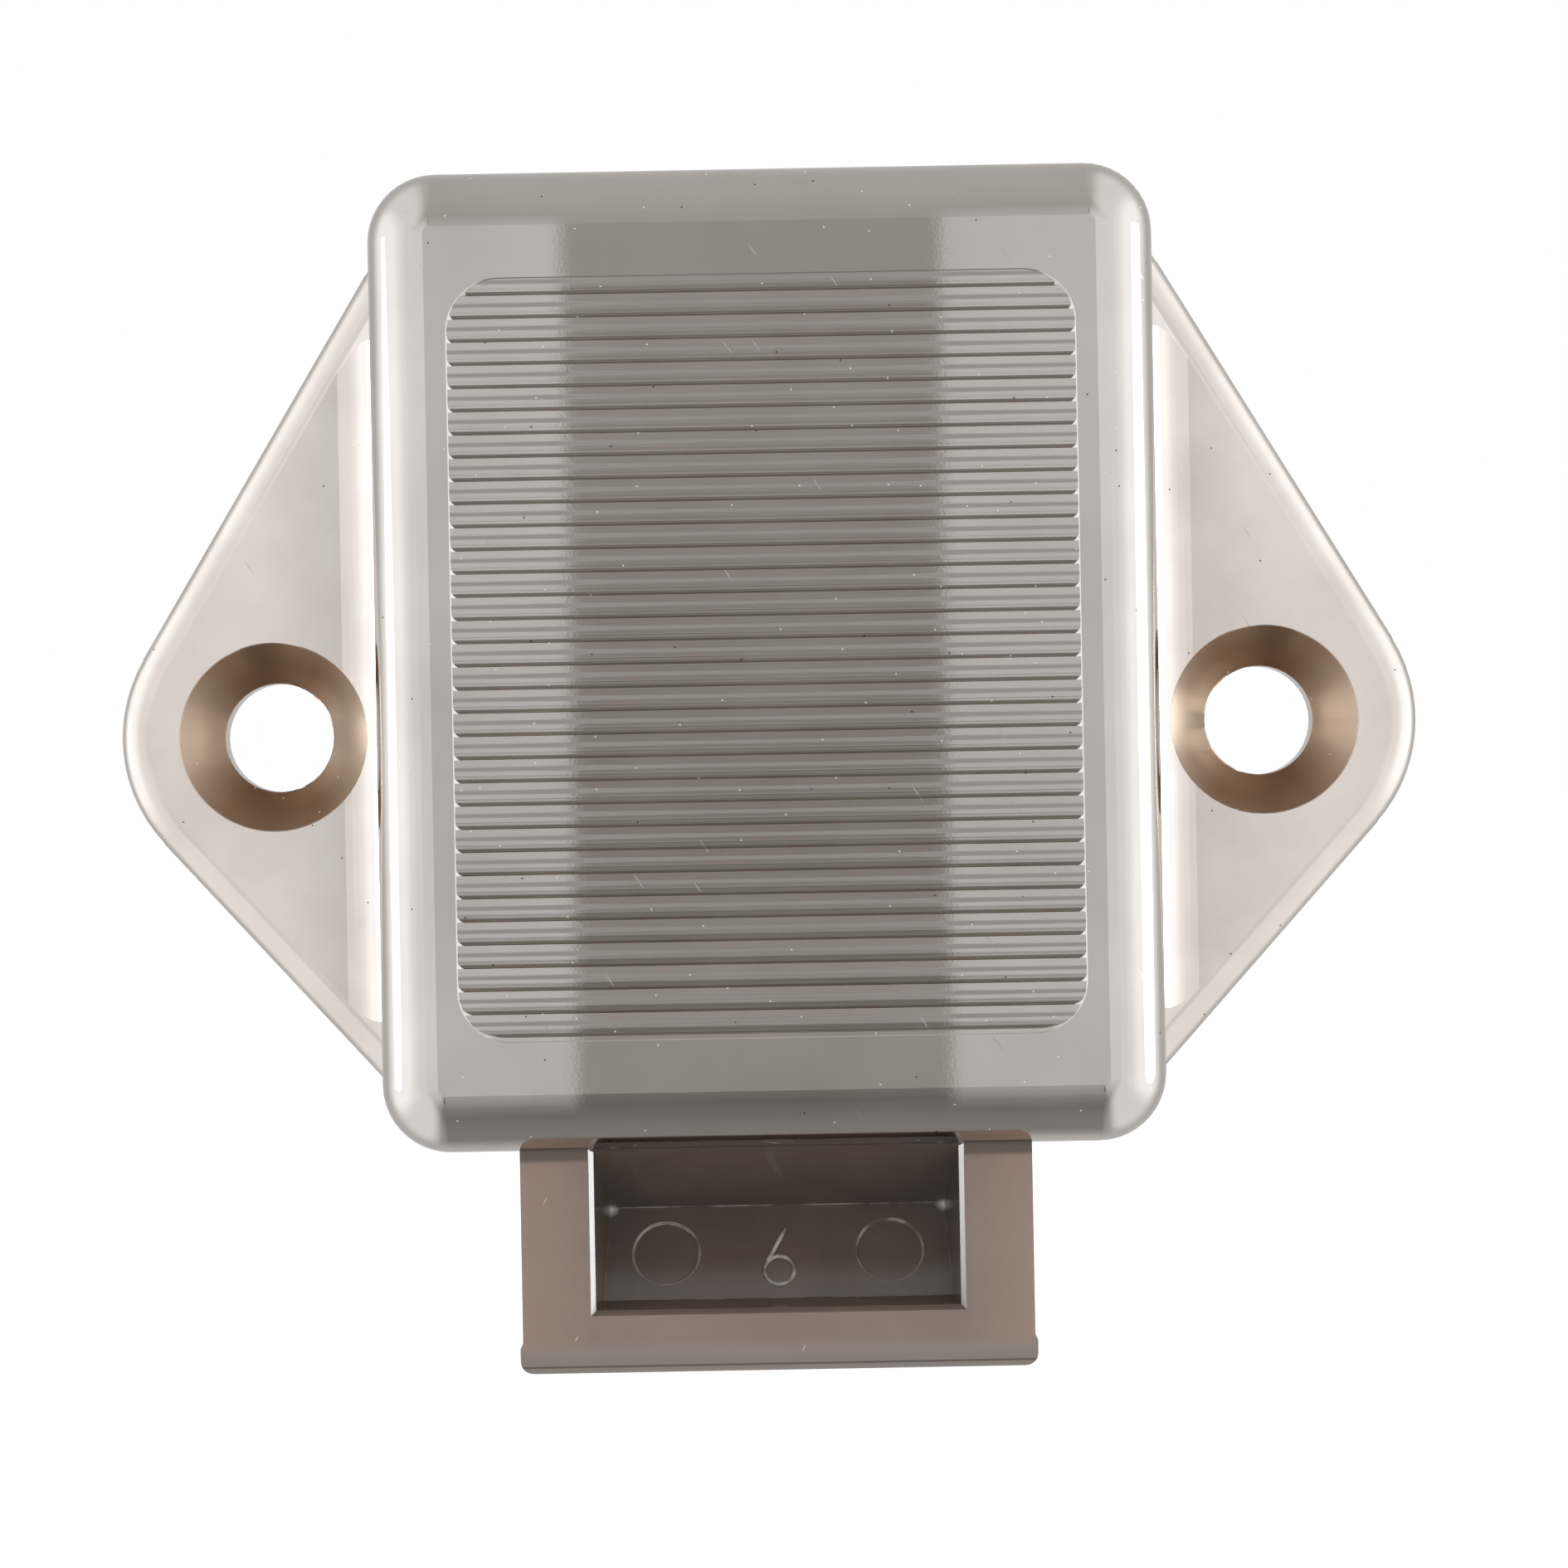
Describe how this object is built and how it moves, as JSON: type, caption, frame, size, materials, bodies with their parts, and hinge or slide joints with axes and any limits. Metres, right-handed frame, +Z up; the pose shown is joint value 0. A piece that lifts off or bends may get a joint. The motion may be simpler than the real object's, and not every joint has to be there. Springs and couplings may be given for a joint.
{
  "type": "push-button lock",
  "caption": "Surface-mounted cabinet lock with a ribbed case, two screw wings, a wedge-nosed sliding bolt and a push-push plunger that drives the bolt.",
  "frame": {"origin": "midpoint of the two screw holes, on the face that lies on the door", "axes": "+X along the line of the screw holes, +Y into the door, +Z up the door, away from the nose of the bolt"},
  "size_m": [0.0606, 0.0215, 0.0531],
  "materials": {
    "satin_nickel": "die-cast body with satin nickel plating",
    "cover_plastic": "moulded plastic, fine matt",
    "bolt_plastic": "moulded acetal, smooth matt",
    "plunger_plastic": "moulded acetal, smooth matt",
    "spring_steel": "drawn spring wire",
    "plated_screw": "zinc plated"
  },
  "bodies": {
    "housing": {"case": "satin_nickel", "cover_plate": "cover_plastic", "cover_screws": "plated_screw", "return_spring_left": "spring_steel", "return_spring_right": "spring_steel", "latch_wire": "spring_steel"},
    "plunger": {"plunger": "plunger_plastic"},
    "bolt": {"bolt": "bolt_plastic"}
  },
  "joints": [
    {"name": "plunger_slide", "type": "slide", "parent": "housing", "child": "plunger", "axis": [0, 1, 0], "range_m": [-0.0008, 0.006], "deforming": ["latch_wire"]},
    {"name": "bolt_slide", "type": "slide", "parent": "housing", "child": "bolt", "axis": [0, 0, 1], "range_m": [-0.00112, 0.0084], "deforming": ["return_spring_left", "return_spring_right"]}
  ],
  "couplings": [
    {"joint": "plunger_slide", "follows": "bolt_slide", "ratio": 0.71429}
  ]
}
